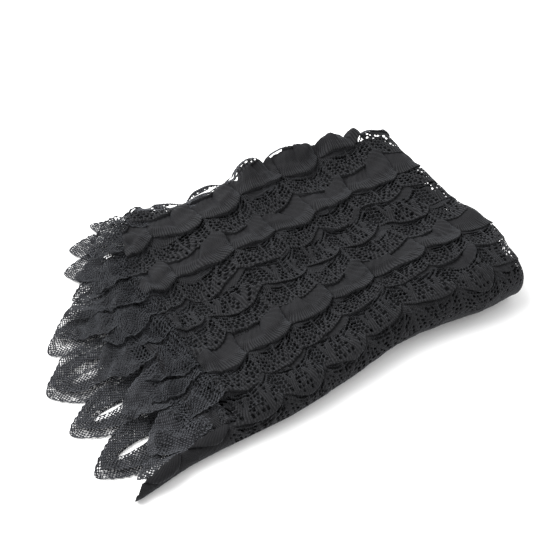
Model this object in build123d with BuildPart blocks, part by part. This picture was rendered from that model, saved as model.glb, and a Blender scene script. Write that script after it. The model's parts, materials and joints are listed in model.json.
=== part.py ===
from build123d import *
from math import atan, cos, degrees, sin
import os

# A machine-knitted lace stole, folded flat into a wedge-shaped pack of eight layers.
# The cloth is folded in half across, across again, and then once along its length.
# Each quarter of the cloth makes one layer below and one layer above the long fold:
# from the middle of the pack outwards they are layers 1 to 4.
# +Z is up, the long fold (the spine) is at -Y, the selvedges at +Y, the leaf-pointed
# ends of the stole at -X and the cross folds at +X. Lengths are in millimetres.

# ---- driving dimensions ----
CLOTH = 1.3                  # thickness of one knitted layer
PACK_LENGTH = 349.0          # along the spine, from the near end to the cross folds
HALF_THICK_LEFT = 6.5        # half the pack's thickness at the pointed end
HALF_THICK_RIGHT = 25.0      # half the pack's thickness at the cross folds
INNER_GAP_LEFT = 0.85        # from the middle of the pack to layer 1's centre line
INNER_GAP_RIGHT = 3.4
SPINE_ARC = 89.5             # each half of the spine turns this far round its axis, degrees
LAYERS = (1, 2, 3, 4)

# outline of a layer seen from above: the near end, the knee and the far end of the
# pointed edge, and the width from the spine's axis to the selvedge border
POINTED_NEAR = 45.0
POINTED_KNEE = (46.0, 115.0)
POINTED_FAR = 118.0
WIDTH_FAR = 228.0
WIDTH_RIGHT = 172.0
CENTRE_FOLD = 122.0          # where the fold in the middle of the stole's length lies

# how far each layer is pushed along the spine and how much wider it is than the top one
TOP_SHIFT = {1: 0.0, 2: 0.0, 3: 20.0, 4: 45.0}
BOTTOM_SHIFT = {1: 0.0, 2: 0.0, 3: 3.0, 4: -6.0}
FAR_SHARE = 0.2              # of that shift and widening, at the corners away from the spine
TOP_EXTRA = {1: 8.0, 2: 6.0, 3: 4.0, 4: 0.0}
BOTTOM_EXTRA = {1: 8.0, 2: 6.0, 3: 5.0, 4: 2.0}

# leaf-shaped points along the two ends of the stole
LEAF_LENGTH = 57.0
LEAF_HALF_WIDTH = 19.0
LEAF_PITCH = 41.0
LEAF_FIRST = 31.0            # from the spine's axis to the middle of the first leaf
LEAVES_BELOW_KNEE = 3
LEAVES_ABOVE_KNEE = 4

# scalloped border along the selvedge
SCALLOPS = 6
SCALLOP_DEPTH = 12.0
SCALLOP_BAND = 4.0

# where the spine's axis starts, seen from above: the pack's box is centred on the origin
SPINE_START = (-169.808, -115.778)

TILT = atan((HALF_THICK_RIGHT - HALF_THICK_LEFT) / PACK_LENGTH)
AXIS_POINT = (SPINE_START[0], SPINE_START[1], HALF_THICK_LEFT * cos(TILT))
AXIS_DIRECTION = (cos(TILT), 0, sin(TILT))
TALL = 60.0                  # more than the pack's thickness, to cut right through it


def centre_line(layer, s):
    """Distance from the spine's axis to a layer's middle, at s along the axis."""
    share = s / PACK_LENGTH
    inner = INNER_GAP_LEFT + (INNER_GAP_RIGHT - INNER_GAP_LEFT) * share
    outer = HALF_THICK_LEFT + (HALF_THICK_RIGHT - HALF_THICK_LEFT) * share - CLOTH / 2
    return inner + (outer - inner) * (layer - 1) / (len(LAYERS) - 1)


def side_plane(side):
    """The upright plane through the spine's axis, its second direction away from the middle."""
    return Plane(origin=AXIS_POINT, x_dir=AXIS_DIRECTION, z_dir=(0, -side, 0))


def plan_plane():
    """The sloping plane between the two halves of the pack."""
    return Plane(origin=AXIS_POINT, x_dir=AXIS_DIRECTION, z_dir=(-sin(TILT), 0, cos(TILT)))


def spine_axis(side):
    """The spine's axis, turned so that a positive angle goes from one half to the spine."""
    return Axis(AXIS_POINT, [side * value for value in AXIS_DIRECTION])


def strip(side, layer, start, end):
    """The section of one flat layer, from start to end along the spine."""
    with BuildSketch(side_plane(side)) as section:
        with BuildLine():
            Polyline(
                (start, centre_line(layer, start) - CLOTH / 2),
                (end, centre_line(layer, end) - CLOTH / 2),
                (end, centre_line(layer, end) + CLOTH / 2),
                (start, centre_line(layer, start) + CLOTH / 2),
                close=True,
            )
        make_face()
    return section.sketch


def cross_fold(side, layers, s, outwards):
    """The half-round section that joins two layers at s, bulging to outwards (+1 or -1)."""
    low = centre_line(layers[0], s)
    high = centre_line(layers[1], s)
    middle = (low + high) / 2
    big = (high - low) / 2 + CLOTH / 2
    small = (high - low) / 2 - CLOTH / 2
    with BuildSketch(side_plane(side)) as section:
        with BuildLine():
            ThreePointArc((s, middle - big), (s + outwards * big, middle), (s, middle + big))
            Line((s, middle + big), (s, middle + small))
            ThreePointArc((s, middle + small), (s + outwards * small, middle), (s, middle - small))
            Line((s, middle - small), (s, middle - big))
        make_face()
    return section.sketch


def start_of(layer, shift):
    """Where a layer starts along the spine: inner layers start at the stole's centre fold."""
    return CENTRE_FOLD if layer <= 2 else POINTED_NEAR + shift


def far_corners(layer, shift, extra):
    """The two ends of the line where a layer's panel meets its selvedge border."""
    far = CENTRE_FOLD if layer <= 2 else POINTED_FAR + shift * FAR_SHARE
    return (far, WIDTH_FAR + extra), (PACK_LENGTH, WIDTH_RIGHT + extra * FAR_SHARE)


def panel_outline(layer, shift, extra):
    """The corners of a layer's panel seen from above."""
    left, right = far_corners(layer, shift, extra)
    corners = [(start_of(layer, shift), 0), (PACK_LENGTH, 0), right, left]
    if layer > 2:
        corners.append((POINTED_KNEE[0] + shift, POINTED_KNEE[1]))
    return corners


def panel_plan(layer, shift, extra):
    """A layer's panel seen from above."""
    with BuildSketch(plan_plane()) as plan:
        with BuildLine():
            Polyline(*panel_outline(layer, shift, extra), close=True)
        make_face()
    return plan.sketch


def border_plan(layer, shift, extra):
    """The scallops along a panel's far edge, seen from above."""
    left, right = far_corners(layer, shift, extra)
    run = right[0] - left[0]
    fall = left[1] - right[1]
    length = (run**2 + fall**2) ** 0.5
    pitch = length / SCALLOPS
    inset = (pitch**2 / 4 - SCALLOP_DEPTH**2) / (2 * SCALLOP_DEPTH)
    edge = Location((left[0], left[1], 0), (0, 0, -degrees(atan(fall / run))))
    with BuildSketch(plan_plane()) as plan:
        with Locations(edge):
            with Locations((length / 2, 0)):
                Rectangle(length, 2 * SCALLOP_BAND)
            with Locations(*[((number + 0.5) * pitch, -inset) for number in range(SCALLOPS)]):
                Circle(inset + SCALLOP_DEPTH)
            with Locations((length / 2, -WIDTH_FAR)):
                Rectangle(3 * length, 2 * WIDTH_FAR, mode=Mode.SUBTRACT)
        with Locations((PACK_LENGTH + TALL / 2, 0)):
            Rectangle(TALL, 4 * WIDTH_FAR, mode=Mode.SUBTRACT)
    return plan.sketch


def leaf():
    """One leaf-shaped point: two arcs that meet at its tip."""
    root = -LEAF_LENGTH / 5
    waist = LEAF_LENGTH * 0.4
    half_root = LEAF_HALF_WIDTH * 0.7
    with BuildSketch() as shape:
        with BuildLine():
            ThreePointArc((root, -half_root), (waist, -LEAF_HALF_WIDTH), (LEAF_LENGTH, 0))
            ThreePointArc((LEAF_LENGTH, 0), (waist, LEAF_HALF_WIDTH), (root, half_root))
            Line((root, half_root), (root, -half_root))
        make_face()
    return shape.sketch


def leaf_places(layer, shift, extra):
    """Where each leaf of one end leaves the panel, and which way it points."""
    places = []
    for number in range(LEAVES_BELOW_KNEE):
        point = (POINTED_NEAR + shift, LEAF_FIRST + number * LEAF_PITCH, 0)
        places.append(Location(point, (0, 0, 180)))
    far, _ = far_corners(layer, shift, extra)
    knee = (POINTED_KNEE[0] + shift, POINTED_KNEE[1])
    run = far[0] - knee[0]
    rise = far[1] - knee[1]
    for number in range(LEAVES_ABOVE_KNEE):
        share = (number + 0.5) / LEAVES_ABOVE_KNEE
        point = (knee[0] + run * share, knee[1] + rise * share, 0)
        turn = degrees(atan(run / rise)) * (0.4 + share)
        places.append(Location(point, (0, 0, 180 - turn)))
    return places


def points_plan(layer, shift, extra):
    """The row of leaves along a layer's pointed edge, seen from above."""
    with BuildSketch(plan_plane()) as plan:
        with Locations(*leaf_places(layer, shift, extra)):
            add(leaf())
        with BuildLine():
            Polyline(*panel_outline(layer, shift, extra), close=True)
        make_face(mode=Mode.SUBTRACT)
    return plan.sketch


def save(piece, name):
    piece.part.label = name
    export_step(piece.part, f"parts/{name}.step")


def make_flat_piece(name, side, layer, plan, left, beside=None):
    """A piece of one flat layer, cut to the outline that plan gives it and clear of the one beside it."""
    with BuildPart() as piece:
        extrude(strip(side, layer, left, PACK_LENGTH), amount=2 * WIDTH_FAR, dir=(0, 1, 0))
        extrude(plan, amount=TALL, both=True, mode=Mode.INTERSECT)
        if beside:
            extrude(beside, amount=TALL, both=True, mode=Mode.SUBTRACT)
    save(piece, name)


def make_spine(name, side, layer, shift):
    """A layer's quarter turn round the long fold."""
    with BuildPart() as spine:
        section = strip(side, layer, start_of(layer, shift), PACK_LENGTH)
        revolve(section, axis=spine_axis(side), revolution_arc=SPINE_ARC)
    save(spine, name)


def make_cross_fold(name, side, layers, s, outwards, width):
    """The half-round edge where two layers of one half meet."""
    with BuildPart() as fold:
        extrude(cross_fold(side, layers, s, outwards), amount=width, dir=(0, 1, 0))
    save(fold, name)


def make_corner(name, side, layers, s, outwards):
    """Where a cross fold turns round the long fold."""
    with BuildPart() as corner:
        section = cross_fold(side, layers, s, outwards)
        revolve(section, axis=spine_axis(side), revolution_arc=SPINE_ARC)
    save(corner, name)


os.makedirs("parts", exist_ok=True)
HALVES = (("lower", -1, BOTTOM_SHIFT, BOTTOM_EXTRA), ("upper", 1, TOP_SHIFT, TOP_EXTRA))
for half, side, shifts, extras in HALVES:
    for layer in LAYERS:
        shift = shifts[layer]
        extra = extras[layer]
        start = start_of(layer, shift)
        plan = panel_plan(layer, shift, extra)
        make_flat_piece(f"{half}_panel_{layer}", side, layer, plan, start)
        border = border_plan(layer, shift, extra)
        make_flat_piece(f"{half}_border_{layer}", side, layer, border, start)
        make_spine(f"{half}_spine_{layer}", side, layer, shift)
        if layer > 2:
            plan = points_plan(layer, shift, extra)
            left = start - 2 * LEAF_LENGTH
            make_flat_piece(f"{half}_points_{layer}", side, layer, plan, left, beside=border)
    make_cross_fold(f"{half}_fold_outer", side, (1, 4), PACK_LENGTH, 1, WIDTH_RIGHT)
    make_cross_fold(f"{half}_fold_inner", side, (2, 3), PACK_LENGTH, 1, WIDTH_RIGHT)
    make_cross_fold(f"{half}_fold_centre", side, (1, 2), CENTRE_FOLD, -1, WIDTH_FAR)
    make_corner(f"{half}_corner_outer", side, (1, 4), PACK_LENGTH, 1)
    make_corner(f"{half}_corner_inner", side, (2, 3), PACK_LENGTH, 1)
    make_corner(f"{half}_corner_centre", side, (1, 2), CENTRE_FOLD, -1)
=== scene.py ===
import json
import math

import bpy
import numpy as np
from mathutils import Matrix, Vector


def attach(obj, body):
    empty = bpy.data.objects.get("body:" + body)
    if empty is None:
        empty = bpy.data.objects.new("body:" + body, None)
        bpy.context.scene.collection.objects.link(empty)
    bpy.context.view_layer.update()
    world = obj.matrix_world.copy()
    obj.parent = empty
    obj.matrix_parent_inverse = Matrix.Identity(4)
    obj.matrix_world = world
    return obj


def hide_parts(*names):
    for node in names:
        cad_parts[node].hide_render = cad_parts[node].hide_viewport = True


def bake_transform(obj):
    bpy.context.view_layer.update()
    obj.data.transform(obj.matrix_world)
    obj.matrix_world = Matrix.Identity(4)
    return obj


# A black lace stole, folded into a wedge-shaped pack. Every layer is one knitted sheet, laid out flat
# with its eyelets, shells and ribs and then placed on its folded shape.
# Lengths are in millimetres until a mesh is made.

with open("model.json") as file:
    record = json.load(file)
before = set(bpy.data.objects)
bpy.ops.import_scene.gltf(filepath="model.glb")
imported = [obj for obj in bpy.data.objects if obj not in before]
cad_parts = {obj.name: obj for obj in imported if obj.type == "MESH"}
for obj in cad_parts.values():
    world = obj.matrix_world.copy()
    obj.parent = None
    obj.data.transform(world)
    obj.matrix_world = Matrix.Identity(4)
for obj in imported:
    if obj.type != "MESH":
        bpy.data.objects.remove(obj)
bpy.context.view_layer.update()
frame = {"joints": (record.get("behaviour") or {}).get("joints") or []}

MM = 0.001
SPINE_JOINT = next(joint for joint in frame["joints"] if joint["name"] == "spine_fold")
AXIS_AT = np.array(SPINE_JOINT["pos_m"]) / MM
ALONG = np.array(SPINE_JOINT["axis"], float)
ACROSS = np.array([0.0, 1.0, 0.0])
OUT = np.cross(ALONG, ACROSS)

# ---- the folded pack, as in the frame ----
CLOTH = 1.3
LENGTH = 349.0               # along the spine, to the cross folds
HALF_THICK = (6.5, 25.0)     # at the pointed end and at the cross folds
INNER_GAP = (0.85, 3.4)
CENTRE_FOLD = 122.0
KNEE = 115.0                 # where the pointed edge turns, from the spine

# each layer: where its pointed edge is, at the spine and at the far side, and then how wide the layer
# is there and at the cross folds
SHAPES = {
    ("upper", 4): (90.0, 127.0, 228.0, 172.0),
    ("upper", 3): (65.0, 122.0, 232.0, 173.0),
    ("upper", 2): (CENTRE_FOLD, CENTRE_FOLD, 234.0, 173.0),
    ("upper", 1): (CENTRE_FOLD, CENTRE_FOLD, 236.0, 174.0),
    ("lower", 1): (CENTRE_FOLD, CENTRE_FOLD, 236.0, 174.0),
    ("lower", 2): (CENTRE_FOLD, CENTRE_FOLD, 234.0, 173.0),
    ("lower", 3): (48.0, 118.6, 233.0, 173.0),
    ("lower", 4): (39.0, 116.8, 230.0, 172.0),
}

# ---- the lace repeat ----
ROW = 46.0                   # one band of shells and one of eyelets
FIRST_ROW = 2.0
SHELL = 41.0                 # width of a shell
FIRST_SHELL = 2.0
SHELL_TALL = 25.0
FAN_TALL = ROW - SHELL_TALL
SHELL_DIP = 8.0              # depth of the shells' scallops
FAN_DIP = 7.0                # depth of the eyelet fans' scallops
SHELL_CENTRE = 34.0          # above a shell's lower edge, where its ribs meet
FAN_CENTRE = 29.0
FAN_RING = 3.0               # between an eyelet fan's rings
RIB = 1.9                    # between knitted ribs
STITCH = 1.3                 # between stitches along a rib

TOP = ("upper", 4)           # the layer that shows most, and the one that lies on the surface
BOTTOM = ("lower", 4)


def smooth(x):
    x = np.clip(x, 0, 1)
    return x * x * (3 - 2 * x)


def wobble(seed, u, v, size, waves=7):
    """Smooth seeded unevenness, about -1 to 1, with features of about size."""
    random = np.random.default_rng(seed)
    total = 0
    for _ in range(waves):
        angle = random.uniform(0, 2 * math.pi)
        turn = 2 * math.pi / (size * random.uniform(0.7, 1.6))
        phase = random.uniform(0, 2 * math.pi)
        total = total + np.sin((u * math.cos(angle) + v * math.sin(angle)) * turn + phase)
    return total / waves**0.5 * 0.8


def scatter(seed, a, b):
    """A fixed random number from 0 to 1 for each whole-number pair."""
    mixed = np.sin(a * 12.9898 + b * 78.233 + seed * 37.719) * 43758.5453
    return mixed - np.floor(mixed)


# ---- where the cloth lies ----


def centre_line(layer, s):
    """Distance from the spine's axis to a layer, at s along the axis."""
    share = s / LENGTH
    inner = INNER_GAP[0] + (INNER_GAP[1] - INNER_GAP[0]) * share
    outer = HALF_THICK[0] + (HALF_THICK[1] - HALF_THICK[0]) * share - CLOTH / 2
    return inner + (outer - inner) * (layer - 1) / 3


def pitch_at(s):
    """The room that one layer has in the stack."""
    return (centre_line(4, s) - centre_line(1, s)) / 3


# each cross fold: the layer that turns into it and the one it comes out as, where it is along the spine,
# and how far it stands out from there, as a share of its radius
FOLDS = {
    "outer": (4, 1, LENGTH, 0.8),
    "inner": (3, 2, LENGTH, 0.8),
    "centre": (2, 1, CENTRE_FOLD, -1.0),
}


def profile(layer, u):
    """The side view of a layer at u along the cloth: (s, r) and the outward direction there."""
    s = np.array(u, float)
    r = centre_line(layer, s)
    out_s = np.zeros_like(s)
    out_r = np.ones_like(s)
    for first, other, at, reach in FOLDS.values():
        if first != layer:
            continue
        high, low = centre_line(layer, at), centre_line(other, at)
        way = math.copysign(1, reach)
        bend = (high - low) / 2
        turn = np.clip(way * (s - at) / bend, 0, math.pi)
        past = way * (s - at) > 0
        r = np.where(past, (high + low) / 2 + bend * np.cos(turn), r)
        out_s = np.where(past, way * np.sin(turn), out_s)
        out_r = np.where(past, np.cos(turn), out_r)
        s = np.where(past, at + reach * bend * np.sin(turn), s)
    return s, r, out_s, out_r


def spine_radius(layer, u):
    """The radius that a layer's arc lengths round the spine are measured at."""
    return centre_line(layer, np.clip(u, -20, LENGTH))


def round_spine(layer, u):
    """How much cloth there is in a layer's half turn round the spine."""
    return math.pi * spine_radius(layer, u)


def start_edge(half, layer, y):
    """Where a layer's pointed edge is, along the spine, at y across the pack."""
    near, far, width, _ = SHAPES[half, layer]
    edge = np.interp(y, [0, KNEE, width], [near, near + 1, far])
    if (half, layer) == TOP:
        bulge = smooth((y - KNEE) / 40) * smooth((width + 4 - y) / 22)
        edge = edge - 17 * bulge
    return edge


# the heights that the pointed ends sink to, above the surface that the pack lies on
FLOOR_STACK = {("lower", 4): 1.0, ("lower", 3): 3.4, ("upper", 3): 5.8, ("upper", 4): 9.0}
MIDDLE_STACK = 4.6           # where the inner layers would be in that stack

# small gaps near the far edge, where the soft cloth is parted down to the surface below: the middle of
# each on the top layer (s, y), half its length, half its width and its heading; the layers under it are
# parted a little further on, along the line of sight
PARTINGS = ((137, 224, 6.5, 3.6, 0.0), (84, 207, 3.5, 6.5, 0.5), (116, 233, 6.0, 4.5, 0.9))
SEEN_ALONG = (0.46, 0.70)


def parting(half, layer, s, y):
    """Above 0 outside the gaps where the cloth is parted."""
    deeper = FLOOR_STACK[TOP] - FLOOR_STACK.get((half, layer), MIDDLE_STACK)
    nearest = np.full_like(s, 1.0)
    for at_s, at_y, long, wide, heading in PARTINGS:
        off_s = s - at_s - SEEN_ALONG[0] * deeper
        off_y = y - at_y - SEEN_ALONG[1] * deeper
        along = off_s * math.cos(heading) + off_y * math.sin(heading)
        aside = off_y * math.cos(heading) - off_s * math.sin(heading)
        nearest = np.minimum(nearest, np.hypot(along / long, aside / wide) - 1)
    return nearest * 2


def far_edge(half, layer, s):
    """How wide a layer is at s, with the hollows in the far side of the pack."""
    _, far, width, right = SHAPES[half, layer]
    hollow = 13 * np.exp(-(((s - 160) / 46) ** 2)) + 5 * smooth((s - 312) / 30)
    if (half, layer) != TOP:
        hollow = hollow + 8 * smooth((s - 135) / 20) * smooth((246 - s) / 20)
    return width + (right - width) * np.clip((s - far) / (LENGTH - far), -0.1, 1) - hollow


# how much of the near side's hollow each layer follows: the inner layers lie close to the spine's axis,
# and would be stretched across it when the pack opens if they followed it all
HOLLOW_SHARES = {1: 0.2, 2: 0.5, 3: 0.75, 4: 1.0}
HOLLOW = (236.0, 60.0, 10.6)  # its middle, half its length and its depth


def dent(layer, s):
    """How far the near side of the pack curves in from a straight line."""
    middle, long, deep = HOLLOW
    hollow = deep * HOLLOW_SHARES[layer] * np.exp(-(((s - middle) / long) ** 2))
    return 4.3 * smooth(s / 50) - 3 * smooth((s - 60) / 60) + hollow


def pull(s, across):
    """How far the cloth at the thick end is drawn in, at a share across the pack."""
    across = np.clip(across, 0, 1)
    at_corner = 7 * np.exp(-((across / 0.08) ** 2)) - 2.5 * np.exp(-(((across - 0.18) / 0.07) ** 2))
    return smooth((s - 285) / 70) * (at_corner - 0.3 + 4.3 * smooth((across - 0.25) / 0.4))


def droop(half, layer, s, y, r):
    """The pointed ends sink from the wedge towards the surface that the pack lies on."""
    if layer < 3:
        return r
    side = 1 if half == "upper" else -1
    axis_height = AXIS_AT[2] + s * ALONG[2]
    floor_r = side * (FLOOR_STACK[half, layer] - axis_height)
    share = smooth((start_edge(half, layer, y) - s) / 62)
    return r + (floor_r - r) * share


# how much each layer's pointed end is rumpled
CRUMPLE = {("upper", 4): 1.65, ("upper", 3): 1.25, ("lower", 3): 0.4, ("lower", 4): 0.06}


def crumple_at(s, y):
    """How far the soft leafy end is raised where it is rumpled."""
    ridges = 1 - np.abs(wobble(31, s * 1.25, y, 34))
    lumps = wobble(32, s, y * 1.2, 19)
    return np.clip(3.2 * ridges + 1.7 * lumps, -1, 9) * smooth((118 - s) / 40) * smooth((s + 14) / 40)


def flat_place(half, layer, u, y):
    """Points and outward directions of a flat layer, with its puffs, sag and rolled far edge."""
    side = 1 if half == "upper" else -1
    s, r, out_s, out_r = profile(layer, u)
    width = far_edge(half, layer, s)
    off_spine = smooth(y / 22)
    seed = 10 * layer + (0 if half == "upper" else 5)
    puff = wobble(seed, s, y, 64)
    if half == "upper":
        middle = np.sin(math.pi * np.clip(y / width, 0, 1)) ** 1.3
        r = r * (1 - 0.42 * smooth((s - 60) / 280) * middle)
    if (half, layer) == TOP:
        r = r + off_spine * (1.2 + 2.1 * smooth(s / LENGTH)) * (puff + 0.3)
        r = r + off_spine * 0.8 * wobble(seed + 1, s, y, 24)
        from_edge = s - start_edge(half, layer, y)
        crumple = np.exp(-(((from_edge - 6) / 8) ** 2)) * off_spine
        r = r + crumple * (1.2 + 1.6 * wobble(seed + 2, s * 2.2, y, 17))
        r = r - 5 * smooth((y - width + 8) / 14) * smooth((s - 125) / 25) * smooth((222 - s) / 18)
    elif (half, layer) == BOTTOM:
        r = r - off_spine * 0.3 * (puff + 1)
    else:
        r = r + off_spine * 0.2 * pitch_at(s) * puff
    r = droop(half, layer, s, y, r)
    r = r + side * CRUMPLE.get((half, layer), 0) * crumple_at(s, y)
    out_y = np.zeros_like(s)
    share = y / width
    if (half, layer) == TOP:
        y, r, out_y, out_r = roll_far_edge(s, y, r, width, out_r)
    s = s - pull(s, share)
    y = y + dent(layer, s) * smooth(1 - y / 75)
    points = AXIS_AT + s[:, None] * ALONG + y[:, None] * ACROSS + side * r[:, None] * OUT
    ways = out_s[:, None] * ALONG + out_y[:, None] * ACROSS + side * out_r[:, None] * OUT
    return points, ways


ROLL_START = (196.0, 232.0)  # along the spine, where the far edge begins to turn down
ROLL_RADIUS = 9.0
# the shells make lumps in the roll: where its necks are, between them, and the lumps' height there
ROLL_NECKS = (214.0, 241.0, 289.0, 316.0, 331.0, 357.0)
LUMPS_TALL = (13.0, 12.0, 9.8, 8.1, 8.1, 3.0)


def roll_far_edge(s, y, r, width, out_r):
    """At the thick end the top layer turns down over the far side of the pack."""
    bend = smooth((s - ROLL_START[0]) / (ROLL_START[1] - ROLL_START[0])) / ROLL_RADIUS + 1e-5
    edge = width + 3
    past = np.clip(y - edge, 0, None)
    angle = np.minimum(past * bend, math.pi / 2 * 0.97)
    rest = past - angle / bend
    lump = np.interp(s, ROLL_NECKS, range(len(ROLL_NECKS)))
    tall = np.interp(s, ROLL_NECKS, LUMPS_TALL)
    swell = (0.5 + tall * np.abs(np.sin(math.pi * lump)) ** 0.6) * smooth((s - ROLL_START[0]) / 20)
    swell = swell * np.exp(-(((y - edge + 3) / 13) ** 2))
    new_y = np.where(y > edge, edge + np.sin(angle) / bend + np.cos(angle) * rest, y)
    new_r = r + swell - (1 - np.cos(angle)) / bend - np.sin(angle) * rest
    return new_y, new_r, np.sin(angle), out_r * np.cos(angle)


def place(layer, u, t):
    """Points and outward directions of a layer at u along the cloth and t across it.
    t is the width on the upper half, falls below 0 round the spine, and goes on to the lower half."""
    u, t = np.asarray(u, float), np.asarray(t, float)
    radius = spine_radius(layer, u)
    points = np.zeros((len(u), 3))
    ways = np.zeros((len(u), 3))
    top = t >= 0
    bottom = t <= -math.pi * radius
    spine = ~(top | bottom)
    if top.any():
        points[top], ways[top] = flat_place("upper", layer, u[top], t[top])
    if bottom.any():
        y = -t[bottom] - math.pi * radius[bottom]
        points[bottom], ways[bottom] = flat_place("lower", layer, u[bottom], y)
    if spine.any():
        s, r, out_s, out_r = profile(layer, u[spine])
        turn = -t[spine] / radius[spine]
        bulge = np.sin(turn) ** 2
        r = r * (1 + bulge * (0.05 * wobble(70 + layer, s, turn * 12, 70) - 0.05))
        outward = np.cos(turn)[:, None] * OUT - np.sin(turn)[:, None] * ACROSS
        s = s - pull(s, np.zeros_like(s))
        points[spine] = AXIS_AT + s[:, None] * ALONG + r[:, None] * outward
        points[spine] += dent(layer, s)[:, None] * ACROSS
        ways[spine] = out_s[:, None] * ALONG + out_r[:, None] * outward
    return points, ways


# ---- the lace, laid out flat ----


STRAIGHT = 45.0              # how far from the spine the rows start to fan out


def row_shift(u):
    """How far the rows of the pattern lie from the width across the cloth, and how that grows."""
    start = 3.3 + 0.024 * u
    slope = 0.00032 * (u - LENGTH / 2)
    return start, slope


def to_pattern(u, t):
    """The pattern height p at t across the cloth."""
    start, slope = row_shift(u)
    return t + start + slope * np.clip(t - STRAIGHT, 0, None)


def from_pattern(u, p):
    """Where a pattern height lies across the cloth."""
    start, slope = row_shift(u)
    t = p - start
    return np.where(t > STRAIGHT, STRAIGHT + (t - STRAIGHT) / (1 + slope), t)


def shell_place(u, p, row, seed, shift=0.0):
    """Which shell of a row u is in, and where across it from -0.5 to 0.5."""
    drift = 6 * wobble(seed + 3, u, 60 * row, 90) + 1.2 * wobble(seed + 6, u, p, 24)
    x = (u + drift + shift - FIRST_SHELL) / SHELL
    return np.floor(x), x - np.floor(x) - 0.5


def shell_edge(u, row, seed):
    """Pattern height of the lower edge of a row of shells."""
    base = FIRST_ROW + ROW * row
    number, x = shell_place(u, base, row, seed)
    dip = SHELL_DIP * (0.8 + 0.5 * scatter(seed + 4, number, row))
    uneven = 3.6 * wobble(seed + 1, u, 40 * row, 58) + 0.6 * wobble(seed + 1, u, 70 * row, 13)
    skewed = x - 0.12 * np.cos(math.pi * x)
    return base + dip * ((2 * np.abs(skewed)) ** 2.2 - 1) + SHELL_DIP / 2 + uneven


def fan_edge(u, row, seed):
    """Pattern height of the lower edge of the eyelet fans above a row of shells."""
    base = FIRST_ROW + ROW * row + SHELL_TALL
    number, x = shell_place(u, base, row, seed, 4)
    dip = FAN_DIP * (0.8 + 0.5 * scatter(seed + 7, number, row))
    uneven = 3.4 * wobble(seed + 2, u, 40 * row, 58) + 0.6 * wobble(seed + 2, u, 70 * row, 13)
    return base + dip * ((2 * np.abs(x)) ** 2.2 - 1) + FAN_DIP / 2 + uneven


OPEN_ROWS = (0, 2, -2, -4, 6)  # these rows of shells are knitted open, with slits between their ribs


def eyelets(seed, radial, angular, radius, ring, step, hole):
    """Solid (above 0) or open (below 0) on a lattice of rings and rays, with uneven holes."""
    a = np.floor(radial / ring)
    angular = angular + 0.5 * step * (a % 2)
    b = np.floor(angular / step)
    size = 0.86 + 0.4 * scatter(seed, a, b)
    size = np.where(scatter(seed + 1, a, b) > 0.92, 0.4, size)
    across = (radial / ring - a - 0.5 + 0.16 * (scatter(seed + 2, a, b) - 0.5)) * ring / hole[0]
    round_it = (angular / step - b - 0.5 + 0.16 * (scatter(seed + 3, a, b) - 0.5)) * step * radius / hole[1]
    return (np.abs(across) ** 1.6 + np.abs(round_it) ** 1.6) ** 0.625 - size


def shells(u, p, row, w, seed):
    """The band of shells, at w above its lower edge: solid, lift, ribs and stitches."""
    number, x = shell_place(u, p, row, seed)
    dx = x * SHELL
    height = p - (FIRST_ROW + ROW * row + SHELL_DIP / 2)
    away = SHELL_CENTRE - height
    angle = np.arctan2(dx, away)
    radius = np.hypot(dx, away)
    lean = np.where(scatter(seed, number, row) > 0.5, 1, -1)
    notch_line = dx - lean * (w - 14) * 0.22
    notch = smooth((w - 7) / 6)
    step = np.tanh(notch_line * lean / 0.6) * 1.5 * notch
    slit = -1.8 * notch * np.exp(-((notch_line / 0.9) ** 2))
    pleat = 0.3 * np.cos(angle / 0.105 * math.pi) * smooth(w / 4)
    belly = 2.1 * (1 - (2 * x) ** 2) * smooth(1.3 - w / SHELL_TALL)
    valley = -1.6 * np.exp(-(((SHELL / 2 - np.abs(dx)) / 1.9) ** 2)) * smooth(1.4 - w / SHELL_TALL)
    lip = 0.5 * np.exp(-(((w - 1.4) / 1.2) ** 2))
    rough = 0.6 * wobble(seed + 14, u, p, 12)
    overlap = (1.5 + 1.6 * scatter(seed + 12, number, row)) * x
    lift = 0.2 + 2.2 * (1 - w / 34) + step + slit + pleat + belly + valley + lip + rough + overlap
    solid = np.full_like(u, 1.0)
    is_open = np.isin(row, OPEN_ROWS)
    lift = np.where(is_open, 0.7 * lift, lift)
    if is_open.any():
        holes = eyelets(seed + 9, radius, angle, radius, 3.1, 0.1, (1.15, 1.1))
        keep = np.maximum((1.5 - w) / 1.2, (w - SHELL_TALL + 2) / 1.5)
        keep = np.maximum(keep, (0.8 - np.abs(dx)) / 1.0)
        fan_leaf = 1.6 - np.abs(np.abs(np.abs(dx) - 9) - 0.22 * (w - 3))
        keep = np.maximum(keep, np.minimum(fan_leaf, (19 - w) / 2))
        solid = np.where(is_open, np.maximum(holes, keep), solid)
    uneven = 0.16 * wobble(seed + 16, u, p, 7)
    return solid, lift, angle / (RIB / 38) + uneven, radius / STITCH


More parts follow.
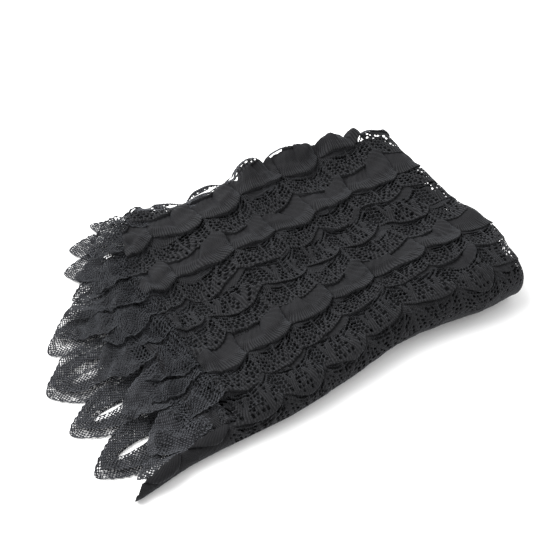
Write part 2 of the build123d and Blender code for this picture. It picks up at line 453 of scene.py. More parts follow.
def fans(u, p, row, w, seed):
    """The band of eyelet fans above the shells, in the same way."""
    number, x = shell_place(u, p, row, seed, 4)
    dx = x * SHELL
    height = p - (FIRST_ROW + ROW * row + SHELL_TALL + FAN_DIP / 2)
    away = FAN_CENTRE - height
    angle = np.arctan2(dx, away)
    radius = np.hypot(dx, away)
    holes = eyelets(seed + 8, radius, angle, radius, FAN_RING, 0.135, (1.1, 1.15))
    keep = np.maximum((1.3 - w) / 1.2, (w - FAN_TALL + 0.5) / 1.5)
    keep = np.maximum(keep, (0.9 - np.abs(dx)) / 1.0)
    keep = np.maximum(keep, (np.abs(dx) - SHELL / 2 + 1.0) / 1.0)
    bow = 2.5 * np.sin(math.pi * w / FAN_TALL) * np.where(scatter(seed + 5, number, row) > 0.5, 1, -1)
    leaf = 1.1 - np.abs(np.abs(dx) - 3.2 - 0.62 * (w - 2))
    solid = np.maximum(np.maximum(holes, keep), leaf / 1.1)
    vein = 1.2 * np.exp(-(((dx - bow) / 0.9) ** 2)) + 0.6 * np.exp(-(((1.1 - leaf) / 1.0) ** 2))
    lip = 0.45 * np.exp(-(((w - 1.2) / 1.0) ** 2))
    rough = 0.4 * wobble(seed + 15, u, p, 9)
    rings = 0.25 * np.cos(radius / FAN_RING * 2 * math.pi)
    lift = 0.2 + 1.8 * (1 - w / FAN_TALL) + vein + lip + rough + rings
    return solid, lift, angle / (RIB / 27), radius / STITCH


def lace_rows(u_line, p_low, p_high, step, seed):
    """Lines that follow the scalloped edges: for each one its row, whether it is among the fans, its
    pattern height and how far it is above the lower edge of its shells or fans."""
    first = int(math.floor((p_low - FIRST_ROW - SHELL_DIP) / ROW)) - 1
    last = int(math.ceil((p_high - FIRST_ROW + SHELL_DIP) / ROW)) + 1
    lines = []
    for row in range(first, last + 1):
        low, mid = shell_edge(u_line, row, seed), fan_edge(u_line, row, seed)
        high = shell_edge(u_line, row + 1, seed)
        for is_fan, start, end, tall in ((0, low, mid, SHELL_TALL), (1, mid, high, FAN_TALL)):
            count = max(3, round(tall / step))
            for n in range(count + 1):
                p = start + (end - start) * n / count
                if p.max() > p_low - 2 and p.min() < p_high + 2:
                    lines.append((row, is_fan, p, start))
    rows, kinds, heights, starts = (np.array(column) for column in zip(*lines))
    return rows.astype(float), kinds, heights, heights - starts


def lace_grid(u_line, t_low, t_high, step, seed):
    """The flat lace between two widths, as channels on a grid of rows and columns."""
    ends = [to_pattern(u_line, np.full_like(u_line, t)) for t in (t_low, t_high)]
    rows, kinds, p, above = lace_rows(u_line, np.min(ends), np.max(ends), step, seed)
    u = np.broadcast_to(u_line, p.shape)
    row = np.broadcast_to(rows[:, None], p.shape)
    solid_s, lift_s, rib_s, stitch_s = shells(u, p, row, above, seed)
    solid_f, lift_f, rib_f, stitch_f = fans(u, p, row, above, seed)
    fan = np.broadcast_to(kinds[:, None] == 1, p.shape)
    overhang = np.where(fan, 0.8, 1.2) * np.clip(1 - above / 3.2, 0, 1)
    return {
        "u": u.copy(),
        "t": from_pattern(u, p),
        "solid": np.where(fan, solid_f, solid_s),
        "lift": np.where(fan, lift_f, lift_s),
        "rib": np.where(fan, rib_f, rib_s),
        "stitch": np.where(fan, stitch_f, stitch_s),
        "overhang": overhang,
        # the shells are plainer away from their lower edge, their ribs fading, and painted darker there as
        # the shade under the band above; the fans are a little lighter
        "plain_and_shade": np.where(fan, -0.2, 0.85 * smooth((above - 4) / 9) * (solid_s >= 1)),
        "row": rows,
    }


# ---- meshes ----


# what is kept at each point of the cloth: its place along and across, relief that fades where there is
# no room, turns of ribs and of stitches, how far it hangs over the band below, lift that doesn't fade,
# how far it is from a rim, and how plain it is, which also carries its painted shade and painted light
CHANNELS = ("u", "t", "lift", "rib", "stitch", "overhang", "lift2", "thread", "plain_and_shade")
U, T, LIFT, RIBS, STITCHES, OVERHANG, LIFT2, THREAD, PLAIN_AND_SHADE = range(len(CHANNELS))

# each neighbour of a grid point, down and right, and the edge of the grid that has none there
NEIGHBOURS = {
    (1, 0): np.s_[-1, :], (-1, 0): np.s_[0, :],
    (0, 1): np.s_[:, -1], (0, -1): np.s_[:, 0],
}


def trim(grid, cut):
    """Keeps what is solid and inside cut, and moves the rim of every hole and edge onto its line."""
    grid = dict(grid)
    grid.setdefault("lift2", np.zeros_like(grid["u"]))
    grid.setdefault("plain_and_shade", np.zeros_like(grid["u"]))
    hole = grid["solid"]
    grid["thread"] = np.clip(hole / 0.4, 0, 1)
    value = np.minimum(hole, cut)
    inside = value > 0
    tall, wide = value.shape
    data = np.stack([grid[name] for name in CHANNELS], axis=-1)
    total = np.zeros_like(data)
    count = np.zeros((tall, wide))
    soft = np.zeros((tall, wide))
    for (down, right), edge in NEIGHBOURS.items():
        near = np.roll(data, (-down, -right), (0, 1))
        near_value = np.roll(value, (-down, -right), (0, 1))
        ok = ~inside & (near_value > 0)
        ok[edge] = False
        part = np.where(ok, value / np.where(ok, value - near_value, 1), 0)
        total += np.where(ok[..., None], data + (near - data) * part[..., None], 0)
        count += ok
        soft += ok & (hole <= 0)
    reached = count > 0
    rim = reached & ~inside
    data[rim] = total[rim] / count[rim][:, None]
    data[..., LIFT] -= np.where(rim & (soft > 0), 0.5, 0)
    usable = inside | rim
    a, b = usable[:-1, :-1], usable[:-1, 1:]
    c, d = usable[1:, 1:], usable[1:, :-1]
    number = inside[:-1, :-1].astype(int) + inside[:-1, 1:] + inside[1:, 1:] + inside[1:, :-1]
    keep = a & b & c & d & (number >= 2)
    index = np.arange(tall * wide).reshape(tall, wide)
    corners = [index[:-1, :-1], index[:-1, 1:], index[1:, 1:], index[1:, :-1]]
    quads = np.stack([corner[keep] for corner in corners], axis=-1)
    used, quads = np.unique(quads, return_inverse=True)
    return data.reshape(-1, len(CHANNELS))[used], quads.reshape(-1, 4)


def make_mesh(name, points, quads, data, spread):
    """A smooth mesh with the knit's coordinates on it, and an unwrapping that is the flat cloth."""
    mesh = bpy.data.meshes.new("cloth_" + name)
    mesh.vertices.add(len(points))
    mesh.vertices.foreach_set("co", (points * MM).astype(np.float32).ravel())
    mesh.loops.add(quads.size)
    mesh.loops.foreach_set("vertex_index", quads.ravel().astype(np.int32))
    mesh.polygons.add(len(quads))
    mesh.polygons.foreach_set("loop_start", np.arange(0, quads.size, 4, dtype=np.int32))
    mesh.polygons.foreach_set("use_smooth", np.ones(len(quads), bool))
    mesh.update(calc_edges=True)
    knit = mesh.attributes.new("knit", "FLOAT_VECTOR", "POINT")
    knitting = np.column_stack([data[:, RIBS], data[:, STITCHES], data[:, THREAD]])
    knit.data.foreach_set("vector", knitting.astype(np.float32).ravel())
    plain_and_shade = mesh.attributes.new("plain_and_shade", "FLOAT", "POINT")
    plain_and_shade.data.foreach_set("value", data[:, PLAIN_AND_SHADE].astype(np.float32))
    low, high = spread.min(0), spread.max(0)
    flat = (spread - low) / (high - low).max() * 0.98 + 0.01
    layer = mesh.uv_layers.new(name="OFBake")
    layer.uv.foreach_set("vector", flat[quads.ravel()].astype(np.float32).ravel())
    mesh.validate()
    piece = bpy.data.objects.new("cloth_" + name, mesh)
    bpy.context.scene.collection.objects.link(piece)
    return piece


# the shortest side given to a sheet's flat size, in metres: the cloth round the centre fold is really 5.5
# mm long there, and is given this instead
SMALLEST_SIDE = 0.0101


def finish_sheet(piece, data, half, nodes, slot, flat=None):
    """Gives a piece its material, hides the parts that it stands for and attaches it to its half's body.
    With no half it is attached to neither body. Its flat size is worked out when not given, but not used."""
    piece.data.materials.append(MATERIALS[slot])
    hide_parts(*nodes)
    if half:
        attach(piece, f"{half}_half")
    if flat is None:
        flat = tuple(np.maximum((data[:, :2].max(0) - data[:, :2].min(0)) * MM, SMALLEST_SIDE))


# ---- materials ----


def math_node(tree, operation, a, b=None, c=None):
    """One maths node, of numbers or other nodes' outputs."""
    node = tree.nodes.new("ShaderNodeMath")
    node.operation = operation
    for socket, value in zip(node.inputs, (a, b, c)):
        if value is None:
            continue
        if isinstance(value, (int, float)):
            socket.default_value = value
        else:
            tree.links.new(value, socket)
    return node.outputs[0]


def wave(tree, turns):
    """From 0 to 1 and back once for each whole turn."""
    swing = math_node(tree, "COSINE", math_node(tree, "MULTIPLY", turns, 2 * math.pi))
    return math_node(tree, "MULTIPLY_ADD", swing, 0.5, 0.5)


def noise(tree, scale, detail):
    """Unevenness from 0 to 1, with about scale features to a metre."""
    at = tree.nodes.new("ShaderNodeTexCoord")
    texture = tree.nodes.new("ShaderNodeTexNoise")
    texture.inputs["Scale"].default_value = scale
    texture.inputs["Detail"].default_value = detail
    tree.links.new(at.outputs["Object"], texture.inputs["Vector"])
    return texture.outputs["Fac"]


FUZZ_SCALE = 900.0
PATCH_SCALE = 26.0
PLAIN_LEVEL = 0.6            # the height of plain knit, where ribs run from 0 to 1


def knit_material(name, yarn, gap, glow, crossing, dim):
    """Black knit: rounded ribs of stitches with painted shade between them and at the rims of holes, with
    lint and a soft sheen.
    crossing is how much the stitches show across the ribs, and dim how much painted shade darkens plain
    knit."""
    material = bpy.data.materials.new(name)
    material.use_nodes = True
    tree = material.node_tree
    shader = tree.nodes["Principled BSDF"]
    shader.inputs["Roughness"].default_value = 0.82
    shader.inputs["Specular IOR Level"].default_value = 0.18
    shader.inputs["Sheen Weight"].default_value = glow
    shader.inputs["Sheen Roughness"].default_value = 0.45
    shader.inputs["Sheen Tint"].default_value = (0.85, 0.9, 1.0, 1.0)
    knit = tree.nodes.new("ShaderNodeAttribute")
    knit.attribute_name = "knit"
    parts = tree.nodes.new("ShaderNodeSeparateXYZ")
    tree.links.new(knit.outputs["Vector"], parts.inputs[0])
    ribs = wave(tree, parts.outputs["X"])
    slant = math_node(tree, "MULTIPLY_ADD", parts.outputs["X"], 0.5, parts.outputs["Y"])
    stitches = wave(tree, slant)
    plain_and_shade = tree.nodes.new("ShaderNodeAttribute")
    plain_and_shade.attribute_name = "plain_and_shade"
    ribbed = math_node(tree, "SUBTRACT", 1.0, plain_and_shade.outputs["Fac"])
    ribbed = math_node(tree, "MAXIMUM", ribbed, 0.0)
    ribs = math_node(tree, "MULTIPLY", math_node(tree, "SUBTRACT", ribs, PLAIN_LEVEL), ribbed)
    ribs = math_node(tree, "ADD", ribs, PLAIN_LEVEL)
    stitches = math_node(tree, "MULTIPLY_ADD", stitches, crossing, 1 - crossing)
    woven = math_node(tree, "MULTIPLY", ribs, stitches)
    fuzz = noise(tree, FUZZ_SCALE, 3)
    patches = noise(tree, PATCH_SCALE, 4)
    thread = math_node(tree, "SMOOTH_MIN", parts.outputs["Z"], 1.0, 0.3)
    height = math_node(tree, "MULTIPLY_ADD", fuzz, 0.35, woven)
    height = math_node(tree, "MULTIPLY_ADD", thread, 1.4, height)
    bump = tree.nodes.new("ShaderNodeBump")
    bump.inputs["Strength"].default_value = 0.9
    bump.inputs["Distance"].default_value = 0.0009
    tree.links.new(height, bump.inputs["Height"])
    tree.links.new(bump.outputs["Normal"], shader.inputs["Normal"])
    # the colour runs from gap, painted shade in the grooves between ribs and stitches, to yarn, the knit's
    # own colour
    ramp = tree.nodes.new("ShaderNodeValToRGB")
    ramp.color_ramp.elements[0].position = 0.12
    ramp.color_ramp.elements[0].color = (*gap, 1)
    ramp.color_ramp.elements[1].position = 0.85
    ramp.color_ramp.elements[1].color = (*yarn, 1)
    lint = math_node(tree, "MULTIPLY_ADD", fuzz, 0.5, -0.25)
    shade = math_node(tree, "ADD", math_node(tree, "MULTIPLY_ADD", patches, 0.5, -0.25), lint)
    # painted shade: the strands are darker towards the rims of their holes, so that they look rounded
    painted_rim_shade = math_node(tree, "MULTIPLY_ADD", thread, 0.65, 0.35)
    # painted shade: plain knit is made darker, by dim, and where it is below 0 it is made lighter
    plain_painted_shade = math_node(tree, "MULTIPLY_ADD", plain_and_shade.outputs["Fac"], -dim, 1.0)
    bright = math_node(tree, "MULTIPLY", math_node(tree, "ADD", woven, shade), painted_rim_shade)
    bright = math_node(tree, "MULTIPLY", bright, plain_painted_shade)
    tree.links.new(bright, ramp.inputs["Fac"])
    tree.links.new(ramp.outputs["Color"], shader.inputs["Base Color"])
    return material


# yarn is each knit's own colour and gap its darkest painted shade
KNITS = {
    "lace_knit": {"yarn": (0.0222, 0.0222, 0.0238), "gap": (0.0042, 0.0042, 0.005),
                  "glow": 0.06, "crossing": 0.4, "dim": 0.33},
    # painted light: the points and borders get a much lighter yarn, for light from the white surface
    # shining through the thin cloth, and a stronger dim for the painted shade on the leaves
    "edge_knit": {"yarn": (0.070, 0.071, 0.079), "gap": (0.009, 0.0095, 0.011),
                  "glow": 0.12, "crossing": 0.4, "dim": 0.85},
}
MATERIALS = {name: knit_material(name, **knit) for name, knit in KNITS.items()}


# ---- pieces ----


def columns(start, end, step):
    """Even places from start to end, about a step apart."""
    return np.linspace(start, end, max(2, round((end - start) / step)) + 1)


def relief(half, layer, u):
    """How much of the lace's relief a layer has room for, and which way it stands."""
    if (half, layer) == TOP:
        return 1 - 0.7 * smooth((u - 322) / 26)
    if layer == 1:
        return -np.clip(centre_line(1, u) / 3.6, 0, 1)
    if (half, layer) == BOTTOM:
        return np.full_like(u, -0.22)
    return np.clip(pitch_at(u) / 8, 0, 0.5)


def spine_relief(layer, u, t):
    """Round the spine the relief passes from the upper half's to the lower half's."""
    radius = spine_radius(layer, u)
    share = smooth(np.clip(-t / (math.pi * radius), 0, 1))
    room = 1 if layer == 4 else np.clip(radius / 12, 0, 1) * smooth(0.3 + np.abs(2 * share - 1))
    return (relief("upper", layer, u) * (1 - share) + relief("lower", layer, u) * share) * room


def settle(layer, data):
    """Puts trimmed cloth where it lies, with its relief."""
    u, t = data[:, U], data[:, T] - data[:, OVERHANG]
    points, ways = place(layer, u, t)
    amount = spine_relief(layer, u, t)
    lift = data[:, LIFT] * amount + data[:, LIFT2]
    return points + ways * lift[:, None]


def seed_of(layer):
    return 100 + 20 * layer


def y_to_t(half, layer, u, y):
    """The place across the cloth that is y from the spine on one half."""
    return y if half == "upper" else -round_spine(layer, u) - y


def t_to_y(half, layer, u, t):
    return t if half == "upper" else -t - round_spine(layer, u)


def half_grid(half, layer, u_line, width, at, step):
    """The lace of one half, a little over its width, and its y from the spine. The cloth's way round
    the spine is longest where the pack is thickest, which is at."""
    if half == "upper":
        low, high = -2, width + 4
    else:
        low, high = -round_spine(layer, at) - width - 4, 2
    grid = lace_grid(u_line, low, high, step, seed_of(layer))
    return grid, t_to_y(half, layer, grid["u"], grid["t"])


def make_panel(half, layer, step, split=None):
    """One layer of one half. It is made in two pieces, from the pattern's row split, if that is given."""
    near, far, width, _ = SHAPES[half, layer]
    u_line = columns(min(near, far) - 2, LENGTH, step)
    grid, y = half_grid(half, layer, u_line, width, LENGTH, step)
    u = grid["u"]
    ragged = 1.2 * wobble(seed_of(layer) + 11, u, y, 16)
    cut = np.minimum(y, u - start_edge(half, layer, y) + ragged)
    cut = np.minimum(cut, far_edge(half, layer, u) - y)
    cut = np.minimum(cut, parting(half, layer, u, y))
    name = f"{half}_panel_{layer}"
    line = int(np.argmax(grid["row"] == split)) if split else 0
    parts = ((name, 0, line), (name + "_far", line - 1, None)) if split else ((name, 0, None),)
    for label, first, last in parts:
        part = {key: value[first:last] for key, value in grid.items()}
        data, quads = trim(part, cut[first:last])
        piece = make_mesh(label, settle(layer, data), quads, data, data[:, :2])
        finish_sheet(piece, data, half, [name], "lace_knit")


BORDER_DEEP = 11.0
BORDER_PITCH = 38.0
BORDER_CENTRE = 13.0         # inside the selvedge, where each of its fans' ribs meet
BORDER_LOOPS = (138.0, 214.0)  # along the spine, where its fans are open along their middle
BORDER_ROLLED = (200.0, 230.0)  # and where it gets shallower, as it is rolled under


def border_grid(layer, far, step, tall, pitch):
    """The scalloped selvedge from far to the cross folds: fans that point outwards from w = 0."""
    u_line = columns(far - 6, LENGTH, step)
    w = np.linspace(0, tall + 1, max(3, round((tall + 1) / step)) + 1)
    u, w = np.broadcast_arrays(u_line[None, :], w[:, None])
    x = (u - far) / pitch
    dx = (x - np.floor(x) - 0.5) * pitch
    rolled = smooth((u - BORDER_ROLLED[0]) / (BORDER_ROLLED[1] - BORDER_ROLLED[0]))
    rim = tall * (1 - np.abs(2 * dx / pitch) ** 2.4 * 0.75) * (1 - 0.74 * rolled)
    rim = rim * smooth((LENGTH + 3 - u) / 14)
    angle = np.arctan2(dx, w + BORDER_CENTRE)
    radius = np.hypot(dx, w + BORDER_CENTRE)
    holes = eyelets(seed_of(layer), radius, angle, radius, 3.4, 0.11, (1.0, 0.9))
    keep = np.maximum((3.4 - w) / 1.2, (w - rim + 2.2) / 1.1)
    gap = np.hypot(dx / (0.32 * pitch), (w - 0.42 * tall) / (0.2 * tall)) - 1
    gap = np.where((u > BORDER_LOOPS[0]) & (u < BORDER_LOOPS[1]), 3 * gap, 1)
    solid = np.minimum(np.minimum(np.maximum(holes, keep), gap), rim - w)
    return {
        "u": u.copy(), "w": w.copy(), "solid": solid, "overhang": np.zeros_like(u),
        "lift": 0.8 + 0.5 * np.cos(w * 0.5), "rib": angle / (RIB / 22), "stitch": radius / STITCH,
    }


def make_border(half, layer, step):
    """The scalloped far edge of one layer of one half."""
    _, far, width, right = SHAPES[half, layer]
    grid = border_grid(layer, far, step, BORDER_DEEP, BORDER_PITCH)
    u, w = grid["u"], grid["w"]
    y = far_edge(half, layer, u) + w - 0.6
    flutter = 1.4 * wobble(seed_of(layer) + 12, u, y, 30) * smooth(w / 8)
    grid["t"] = y_to_t(half, layer, u, y)
    free = 1.0 if (half, layer) == TOP else 0.25
    grid["lift2"] = flutter * free
    cut = np.minimum(u - start_edge(half, layer, width), LENGTH - u + 0.01)
    cut = np.minimum(cut, parting(half, layer, u, y))
    data, quads = trim(grid, cut)
    name = f"{half}_border_{layer}"
    piece = make_mesh(name, settle(layer, data), quads, data, data[:, :2])
    long = math.hypot(LENGTH - far, width - right)
    finish_sheet(piece, data, half, [name], "edge_knit",
                 (long * MM, BORDER_DEEP * MM))


LEAF_PITCH = 40.5
LEAF_ROOT = 12.0             # how far each leaf runs in under the panel
LEAF_APART = 5.0             # between leaves where they are unwrapped

# the leaves of each row: the first leaf's root and tip (s, y), and half its width; the next two are
# like it, each a pitch further across, and the others each have a root, a tip and half a width
LEAF_ROWS = {
    ("lower", 4): ((48, 35), (-15, 30), 21.0,
                   [(62, 152, 2, 146, 17), (88, 198, 48, 215, 17), (100, 217, 63, 236, 16),
                    (120, 228, 91, 253, 12)]),
    ("lower", 3): ((56, 37), (-8, 33), 20.0,
                   [(68, 160, 14, 156, 17), (92, 190, 52, 203, 15), (104, 212, 73, 231, 14),
                    (120, 228, 106, 243, 12)]),
    ("upper", 3): ((74, 23), (24, 17), 20.0,
                   [(84, 150, 27, 143, 18), (90, 180, 40, 178, 15), (98, 200, 52, 193, 15),
                    (110, 220, 80, 224, 13), (72, 8, 8, 6, 10), (88, 166, 27, 164, 15)]),
    ("upper", 4): ((98, 38), (50, 33), 20.0,
                   [(102, 152, 56, 150, 18), (107, 178, 58, 170, 16), (112, 200, 72, 199, 15),
                    (124, 216, 100, 226, 12), (100, 128, 40, 118, 15), (96, 60, 44, 52, 15)]),
}

# how plain each row of leaves is, away from the spine, and its painted light and shade: the upper rows are
# painted darker, as shade, and the lower rows lighter, as light shining through the thin cloth
POINT_SHADES = {("lower", 4): -0.3, ("lower", 3): -0.2, ("upper", 3): 0.7, ("upper", 4): 0.85}

# how far each leaf's root is moved outwards, or inwards below 0: all but the lowest row's go under
# their own panel, out of sight from above
ROOT_LIFTS = {("upper", 4): -1.0, ("upper", 3): -1.0, ("lower", 3): 0.9, ("lower", 4): -0.2}


def leaf_lines(half, layer):
    """Each leaf in a row: its root and tip, half its width, and whether it has a slit."""
    root, tip, wide, slanted = LEAF_ROWS[half, layer]
    steps = [n * LEAF_PITCH for n in range(3)]
    lines = [(root[0], root[1] + step, tip[0], tip[1] + step, wide) for step in steps] + slanted
    return [(line[:4], line[4], half == "lower" and number < 3) for number, line in enumerate(lines)]


def leaf_grid(long, wide, reach, slit_at, airy, step, seed):
    """One leaf-shaped point, a from its root and b from its middle: fine knit with small openings, and
    either a slit along its middle or a patch of net near its root. reach is how far its tip tapers."""
    a = columns(0, long, step)
    b = columns(-wide - 1, wide + 1, step)
    a, b = np.broadcast_arrays(a[None, :], b[:, None])
    to_tip = long - a
    half_width = wide * np.clip(to_tip / reach, 0, 1) ** 0.62 * (1 - 0.25 * smooth((to_tip - 34) / 30))
    half_width = half_width + 0.5 * np.sin(a * 1.3 + seed) * smooth(to_tip / 8)
    rib_line = (a + 0.55 * np.abs(b) + 0.8 * wobble(seed + 70, a, b, 16)) / RIB
    row_line = np.abs(b) / RIB + 0.5 * np.floor(rib_line + 0.5)
    rib_gap = rib_line - np.round(rib_line)
    row_gap = row_line - np.floor(row_line) - 0.5
    size = 0.75 + 0.5 * scatter(seed, np.round(rib_line), np.floor(row_line) + 50 * (b > 0))
    size = size * (1 + 0.12 * wobble(seed, a, b, 15))
    hole = np.hypot(rib_gap * RIB / airy, row_gap * RIB / airy) - size
    if not slit_at:
        net = eyelets(seed + 50, a + 60, b / (a + 60), a + 60, 2.7, 0.033, (0.8, 0.8))
        net = np.maximum(net, 1.1 - np.abs(b - 3 * np.sin(a / 9)))
        hole = np.minimum(hole, np.where(np.abs(a - 20) < 12, net, 1))
    rim = half_width - np.abs(b)
    solid = np.maximum(hole, (1.3 - rim) / 0.8)
    if slit_at:
        slit = np.hypot((to_tip - slit_at) / 15, (b - 0.06 * (to_tip - slit_at)) / 3.3) - 1
        solid = np.minimum(np.maximum(solid, 0.6 - slit * 4), slit * 3)
    solid = np.maximum(solid, (5 - a) / 2)
    lift = 0.2 + 0.3 * np.exp(-((b / 1.2) ** 2)) + 0.3 * smooth(1.5 - rim / 2)
    return {"a": a, "b": b, "solid": np.minimum(solid, rim), "lift": lift, "rib": rib_line,
            "stitch": np.abs(b) / RIB, "overhang": np.zeros_like(a)}


def leaf_bend(half, layer, number, random, grid, long, wide):
    """How a leaf tilts, curls, twists and waves, more and more towards its tip."""
    a, b = grid["a"], grid["b"]
    share = smooth(a / long)
    tilt = random.uniform(0.8, 2.4) * b / wide
    curl = random.uniform(-0.5, 3.0) * share**2 + random.uniform(0, 1.5) * (b / wide) ** 2
    twist = random.uniform(-2.2, 2.2) * (b / wide) * (a / long)
    bend = (tilt + curl + twist + 1.2 * wobble(seed_of(layer) + number + 40, a, b, 22)) * share
    bend = bend + 0.6 * wobble(seed_of(layer) + number + 60, a, b, 9) * share
    if half == "lower":
        bend = -0.35 * bend
    elif layer == 4:
        bend = 1.45 * bend
    root = smooth(1 - a / 16)
    return bend * (1 - root) + ROOT_LIFTS[half, layer] * root


def make_points(half, layer, step, airy):
    """The row of leaf points on one end of the stole, which lie side by side when it is unwrapped."""
    all_data, all_quads, all_points, all_spread = [], [], [], []
    start = 0
    widths = 0
    for number, ((root_s, root_y, tip_s, tip_y), wide, is_open) in enumerate(leaf_lines(half, layer)):
        random = np.random.default_rng(500 + 10 * layer + number)
        heading = math.atan2(tip_y - root_y, tip_s - root_s)
        long = math.hypot(tip_y - root_y, tip_s - root_s) + LEAF_ROOT
        slit_at = 20 - tip_s if is_open else None
        reach = (29 if number < 2 else 19) if half == "lower" else 23
        grid = leaf_grid(long, wide, reach, slit_at, airy, step, seed_of(layer) + number)
        a, b = grid["a"], grid["b"]
        bow = random.uniform(-3, 3)
        out = a - LEAF_ROOT
        aside = b + bow * np.sin(math.pi * a / long)
        s = root_s + out * math.cos(heading) - aside * math.sin(heading)
        y = root_y + out * math.sin(heading) + aside * math.cos(heading)
        grid["u"] = s
        grid["t"] = y_to_t(half, layer, s, y)
        grid["lift2"] = leaf_bend(half, layer, number, random, grid, long, wide)
        shade = POINT_SHADES[half, layer] * smooth((root_y - 20 * (layer == 3)) / 90)
        grid["plain_and_shade"] = np.full_like(a, shade)
        data, quads = trim(grid, parting(half, layer, s, y))
        all_points.append(settle(layer, data))
        off_s, off_y = data[:, U] - root_s, t_to_y(half, layer, data[:, U], data[:, T]) - root_y
        turned = np.column_stack([
            off_s * math.cos(heading) + off_y * math.sin(heading),
            off_y * math.cos(heading) - off_s * math.sin(heading) + widths + wide,
        ])
        widths += 2 * wide + LEAF_APART
        all_spread.append(turned)
        all_data.append(data)
        all_quads.append(quads + start)
        start += len(data)
    data, quads = np.concatenate(all_data), np.concatenate(all_quads)
    spread = np.concatenate(all_spread)
    name = f"{half}_points_{layer}"
    piece = make_mesh(name, np.concatenate(all_points), quads, data, spread)
    flat = tuple((spread.max(0) - spread.min(0)) * MM)
    finish_sheet(piece, data, half, [name], "edge_knit", flat)


def blend_over(piece):
    """Bakes the placement of a piece round the spine into its mesh; it belongs to neither half."""
    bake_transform(piece)


# for each layer, where its spine starts and how many lengths it is made in
SPINE_FROM = {4: 0.0, 3: 9.0, 2: CENTRE_FOLD, 1: CENTRE_FOLD}
SPINE_CUTS = {4: 5, 3: 4, 2: 2, 1: 1}
SPINE_LEAF = 78.0            # how far along the spine the plain leaf reaches that is folded over it


def spine_start(layer, turn):
    """Where the cloth round the spine starts, with a leaf's tip folded over it on the outermost layer."""
    if layer <= 2:
        return np.full_like(turn, CENTRE_FOLD)
    if layer == 3:
        return 64 - 17 * turn
    return -2 + 20 * np.abs(turn - 0.66) ** 1.3


def make_spine(layer, step):
    """A layer's half turn round the long fold, made in several lengths."""
    ends = np.linspace(SPINE_FROM[layer], LENGTH, SPINE_CUTS[layer] + 1)
    for number, (left, right) in enumerate(zip(ends[:-1], ends[1:])):
        u_line = columns(left, right, step)
        grid = lace_grid(u_line, -round_spine(layer, right) - 2, 2, step, seed_of(layer))
        u, t = grid["u"], grid["t"]
        turn = -t / round_spine(layer, u)
        if layer == 4:
            filled = np.maximum(grid["solid"], 0.3 + (SPINE_LEAF - u) / 9)
            grid["solid"] = np.where(u < SPINE_LEAF, filled, grid["solid"])
            # painted shade: the plain leaf folded over the spine loses its ribs and is painted darker, and
            # so is the near side round the spine, where it faces away from the light
            grid["plain_and_shade"] = np.maximum(grid["plain_and_shade"], 1.6 * smooth((SPINE_LEAF + 14 - u) / 22))
            grid["plain_and_shade"] = np.maximum(grid["plain_and_shade"], 1.15 * smooth(turn * 2.4))
        cut = np.minimum(-t, (1 - turn) * round_spine(layer, u))
        cut = np.minimum(cut, u - spine_start(layer, np.clip(turn, 0, 1)) + 0.001)
        data, quads = trim(grid, cut)
        piece = make_mesh(f"spine_{layer}_{number + 1}", settle(layer, data), quads, data, data[:, :2])
        nodes = [f"lower_spine_{layer}", f"upper_spine_{layer}"]
        finish_sheet(piece, data, None, nodes, "lace_knit")
        blend_over(piece)


def half_turn(kind):
    """The cloth's length round a cross fold."""
    layer, other, at, _ = FOLDS[kind]
    return math.pi * (centre_line(layer, at) - centre_line(other, at)) / 2


def fold_columns(kind, step):
    """Even places along the cloth round a cross fold."""
    _, _, at, reach = FOLDS[kind]
    length = half_turn(kind)
    start, end = sorted((at, at + math.copysign(length, reach)))
    return columns(start, end, min(step, length / 6))


def make_fold(half, kind, step):
    """Where two layers of one half meet, on the flat of the pack."""
    layer, _, at, _ = FOLDS[kind]
    width = float(far_edge(half, layer, at))
    grid, y = half_grid(half, layer, fold_columns(kind, step), width, at, step)
    grid["lift"] = grid["lift"] * fold_relief(kind, grid["u"])
    data, quads = trim(grid, np.minimum(y, width - y))
    name = f"{half}_fold_{kind}"
    piece = make_mesh(name, settle(layer, data), quads, data, data[:, :2])
    finish_sheet(piece, data, half, [name], "lace_knit")


def fold_relief(kind, u):
    """The relief fades on the way round a fold, where it turns to face another layer."""
    return 1 - smooth(np.abs(u - FOLDS[kind][2]) / half_turn(kind) * 1.6 - 0.5)


def make_corner(kind, step):
    """Where a cross fold turns round the spine."""
    layer, other, at, _ = FOLDS[kind]
    reach = round_spine(layer, at)
    grid = lace_grid(fold_columns(kind, step), -reach - 2, 2, step, seed_of(layer))
    grid["lift"] = grid["lift"] * fold_relief(kind, grid["u"])
    data, quads = trim(grid, np.minimum(-grid["t"], grid["t"] + reach))
    piece = make_mesh(f"corner_{kind}", settle(layer, data), quads, data, data[:, :2])
    nodes = [f"lower_corner_{kind}", f"upper_corner_{kind}"]
    # more cloth is gathered into the outer corner than its smooth surface holds
    finish_sheet(piece, data, None, nodes, "lace_knit")
    blend_over(piece)


# how finely each piece is divided
PANEL_STEPS = {
    ("upper", 4): 0.56, ("upper", 3): 1.2, ("upper", 2): 1.8, ("upper", 1): 1.1,
    ("lower", 1): 1.1, ("lower", 2): 1.8, ("lower", 3): 1.3, ("lower", 4): 1.3,
}
BORDER_STEPS = {1: 1.0, 2: 1.0, 3: 1.0, 4: 0.7}
SPINE_STEPS = {4: 0.9, 3: 1.3, 2: 1.6, 1: 1.3}
FOLD_STEPS = {"outer": 0.9, "inner": 1.6, "centre": 1.5}
POINT_STEPS = {"upper": 0.48, "lower": 0.45}
POINT_HOLES = {"upper": 0.5, "lower": 0.64}  # how large the openings in the leaf points are
SPLIT_ROW = 2                # the top layer is made in two pieces, which part at this row

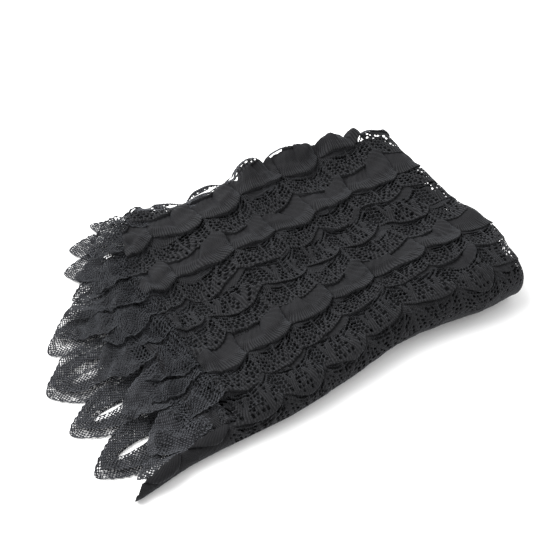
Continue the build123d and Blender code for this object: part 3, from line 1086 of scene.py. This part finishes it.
for (half, layer), step in PANEL_STEPS.items():
    make_panel(half, layer, step, SPLIT_ROW if (half, layer) == TOP else None)
    make_border(half, layer, BORDER_STEPS[layer])
    if layer >= 3:
        make_points(half, layer, POINT_STEPS[half], POINT_HOLES[half])
for layer, step in SPINE_STEPS.items():
    make_spine(layer, step)
for kind, step in FOLD_STEPS.items():
    make_fold("upper", kind, step)
    make_fold("lower", kind, step)
    make_corner(kind, step)


# ---- the room, in metres ----


def make_floor():
    bpy.ops.mesh.primitive_plane_add(size=6, location=(0, 0, -0.0002))
    floor = bpy.context.object
    floor.name = "floor"
    material = bpy.data.materials.new("floor_white")
    material.use_nodes = True
    shader = material.node_tree.nodes["Principled BSDF"]
    shader.inputs["Base Color"].default_value = (0.94, 0.94, 0.94, 1)
    shader.inputs["Roughness"].default_value = 0.9
    floor.data.materials.append(material)


def make_light(name, at, size, power):
    """A square white light that faces the pack."""
    data = bpy.data.lights.new(name, "AREA")
    data.size = size
    data.energy = power
    light = bpy.data.objects.new(name, data)
    light.location = at
    light.rotation_mode = "QUATERNION"
    light.rotation_quaternion = (-Vector(at)).to_track_quat("-Z", "Y")
    bpy.context.scene.collection.objects.link(light)


def make_camera(azimuth, elevation, target, distance, lens):
    """A camera that looks at target, from round and above it in degrees."""
    a, e = math.radians(azimuth), math.radians(elevation)
    back = Vector((math.sin(a) * math.cos(e), -math.cos(a) * math.cos(e), math.sin(e)))
    data = bpy.data.cameras.new("camera")
    data.lens = lens
    camera = bpy.data.objects.new("camera", data)
    camera.location = Vector(target) + back * distance
    camera.rotation_mode = "QUATERNION"
    camera.rotation_quaternion = (-back).to_track_quat("-Z", "Y")
    bpy.context.scene.collection.objects.link(camera)
    bpy.context.scene.camera = camera


make_floor()
make_light("key", (-0.7, 0.75, 1.5), 1.5, 58)
make_light("fill", (0.6, -0.7, 1.6), 1.6, 9)
world = bpy.data.worlds.new("white_room")
world.use_nodes = True
world.node_tree.nodes["Background"].inputs["Color"].default_value = (1, 1, 1, 1)
world.node_tree.nodes["Background"].inputs["Strength"].default_value = 0.8
bpy.context.scene.world = world
bpy.context.scene.view_settings.view_transform = "Standard"
make_camera(-33.64, 50, (0.0207, -0.0099, 0.0142), 0.7577, 60)
